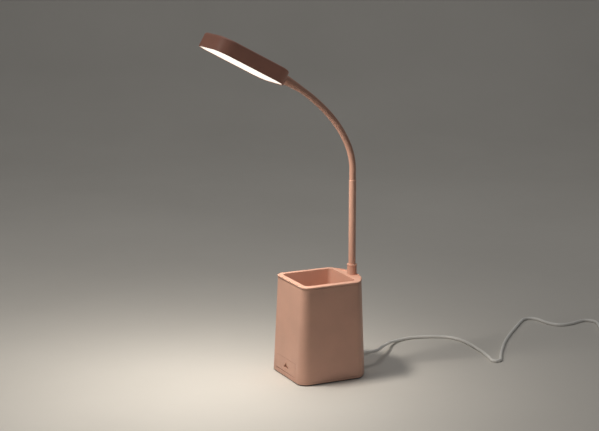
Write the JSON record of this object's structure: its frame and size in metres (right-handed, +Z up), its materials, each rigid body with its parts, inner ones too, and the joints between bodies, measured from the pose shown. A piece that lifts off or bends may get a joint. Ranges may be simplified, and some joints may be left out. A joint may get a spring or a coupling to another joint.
{
  "type": "desk lamp with pen cup and drawer base",
  "caption": "Desk lamp with a tapered pen-cup body, a small drawer in its base and a flexible neck carrying a flat light head, on a USB cord.",
  "frame": {"origin": "on the desk, under the middle of the pen cup, on the foot pad's underside", "axes": "+Z up; -Y is the front, with the drawer and the light head; +Y is the back, with the neck and the cord"},
  "size_m": [0.1725, 0.5567, 0.3834],
  "materials": {
    "body_plastic": "satin moulded plastic",
    "inner_plastic": "plain moulded plastic",
    "pole_paint": "satin paint on a steel tube",
    "neck_sleeve": "soft-touch silicone",
    "head_plastic": "satin moulded plastic",
    "foot_rubber": "matt foam rubber",
    "diffuser": "milky light-spreading plastic",
    "screw_steel": "zinc-plated steel",
    "core_steel": "spring steel",
    "ballast_steel": "rolled steel",
    "circuit_board": "solder mask",
    "led_board": "white solder mask",
    "led_lens": "phosphor lens",
    "connector_plastic": "moulded connector plastic",
    "component_black": "moulded component body",
    "lead_insulation": "extruded insulation",
    "copper_foil": "copper foil",
    "cord_white": "satin extruded insulation",
    "plug_steel": "nickel-plated sheet",
    "plug_tongue": "moulded insulator"
  },
  "bodies": {
    "base": {"foot_pad": "foot_rubber", "base_plate": "body_plastic", "base_screws": "screw_steel", "outer_shell": "body_plastic", "cup_liner": "body_plastic", "ballast_plate": "ballast_steel", "drawer_rail_left": "inner_plastic", "drawer_rail_right": "inner_plastic", "rail_screws": "screw_steel", "lower_pole": "pole_paint", "neck_collar": "body_plastic", "neck_clip": "screw_steel", "driver_board": "circuit_board", "driver_screws": "screw_steel", "input_connector": "connector_plastic", "output_connector": "connector_plastic", "driver_chip": "component_black", "driver_inductor": "component_black", "driver_capacitor": "component_black", "neck_lead": "lead_insulation", "power_lead": "cord_white", "touch_foil": "copper_foil", "touch_wire": "lead_insulation", "strain_relief": "cord_white", "neck_core_0": "core_steel", "cord_run": "cord_white", "cord_coil": "cord_white", "plug_body": "cord_white", "plug_metal": "plug_steel", "plug_tongue": "plug_tongue"},
    "drawer": {"drawer": "body_plastic"},
    "neck_link_1": {"neck_core_1": "core_steel", "neck_sleeve_1": "neck_sleeve"},
    "neck_link_2": {"neck_core_2": "core_steel", "neck_sleeve_2": "neck_sleeve"},
    "neck_link_3": {"neck_core_3": "core_steel", "neck_sleeve_3": "neck_sleeve"},
    "neck_link_4": {"neck_core_4": "core_steel", "neck_sleeve_4": "neck_sleeve"},
    "neck_link_5": {"neck_core_5": "core_steel", "neck_sleeve_5": "neck_sleeve"},
    "neck_link_6": {"neck_core_6": "core_steel", "neck_sleeve_6": "neck_sleeve"},
    "neck_link_7": {"neck_core_7": "core_steel", "neck_sleeve_7": "neck_sleeve"},
    "head": {"neck_core_8": "core_steel", "neck_sleeve_8": "neck_sleeve", "neck_boot": "neck_sleeve", "head_shell": "head_plastic", "diffuser": "diffuser", "led_board": "led_board", "leds": "led_lens", "led_board_screws": "screw_steel", "neck_clamp": "inner_plastic", "neck_clamp_screws": "screw_steel"}
  },
  "joints": [
    {"name": "drawer_slide", "type": "slide", "parent": "base", "child": "drawer", "axis": [0, -1, 0], "range_m": [0, 0.044]},
    {"name": "neck_bend_1", "type": "hinge", "parent": "base", "child": "neck_link_1", "pos_m": [0, 0.0408, 0.22387], "axis": [1, 0, 0], "range_deg": [-15, 15], "deforming": ["neck_sleeve_1"]},
    {"name": "neck_swing_1", "type": "hinge", "parent": "neck_link_1", "child": "neck_link_2", "pos_m": [0, 0.03961, 0.23955], "axis": [0, 0.9834, 0.1813], "range_deg": [-12, 12], "deforming": ["neck_sleeve_2"]},
    {"name": "neck_bend_2", "type": "hinge", "parent": "neck_link_2", "child": "neck_link_3", "pos_m": [0, 0.03509, 0.25461], "axis": [1, 0, 0], "range_deg": [-15, 15], "deforming": ["neck_sleeve_3"]},
    {"name": "neck_swing_2", "type": "hinge", "parent": "neck_link_3", "child": "neck_link_4", "pos_m": [0, 0.02794, 0.26863], "axis": [0, 0.8605, 0.5095], "range_deg": [-12, 12], "deforming": ["neck_sleeve_4"]},
    {"name": "neck_bend_3", "type": "hinge", "parent": "neck_link_4", "child": "neck_link_5", "pos_m": [0, 0.01909, 0.28164], "axis": [1, 0, 0], "range_deg": [-15, 15], "deforming": ["neck_sleeve_5"]},
    {"name": "neck_swing_3", "type": "hinge", "parent": "neck_link_5", "child": "neck_link_6", "pos_m": [0, 0.00871, 0.29348], "axis": [0, 0.7203, 0.6936], "range_deg": [-12, 12], "deforming": ["neck_sleeve_6"]},
    {"name": "neck_bend_4", "type": "hinge", "parent": "neck_link_6", "child": "neck_link_7", "pos_m": [0, -0.00265, 0.30439], "axis": [1, 0, 0], "range_deg": [-15, 15], "deforming": ["neck_sleeve_7"]},
    {"name": "neck_swing_4", "type": "hinge", "parent": "neck_link_7", "child": "head", "pos_m": [0, -0.01483, 0.31436], "axis": [0, 0.6026, 0.798], "range_deg": [-12, 12], "deforming": ["neck_sleeve_8"]}
  ],
  "couplings": [
    {"joint": "neck_bend_2", "follows": "neck_bend_1", "ratio": 1},
    {"joint": "neck_swing_2", "follows": "neck_swing_1", "ratio": 1},
    {"joint": "neck_bend_3", "follows": "neck_bend_1", "ratio": 1},
    {"joint": "neck_swing_3", "follows": "neck_swing_1", "ratio": 1},
    {"joint": "neck_bend_4", "follows": "neck_bend_1", "ratio": 1},
    {"joint": "neck_swing_4", "follows": "neck_swing_1", "ratio": 1}
  ]
}
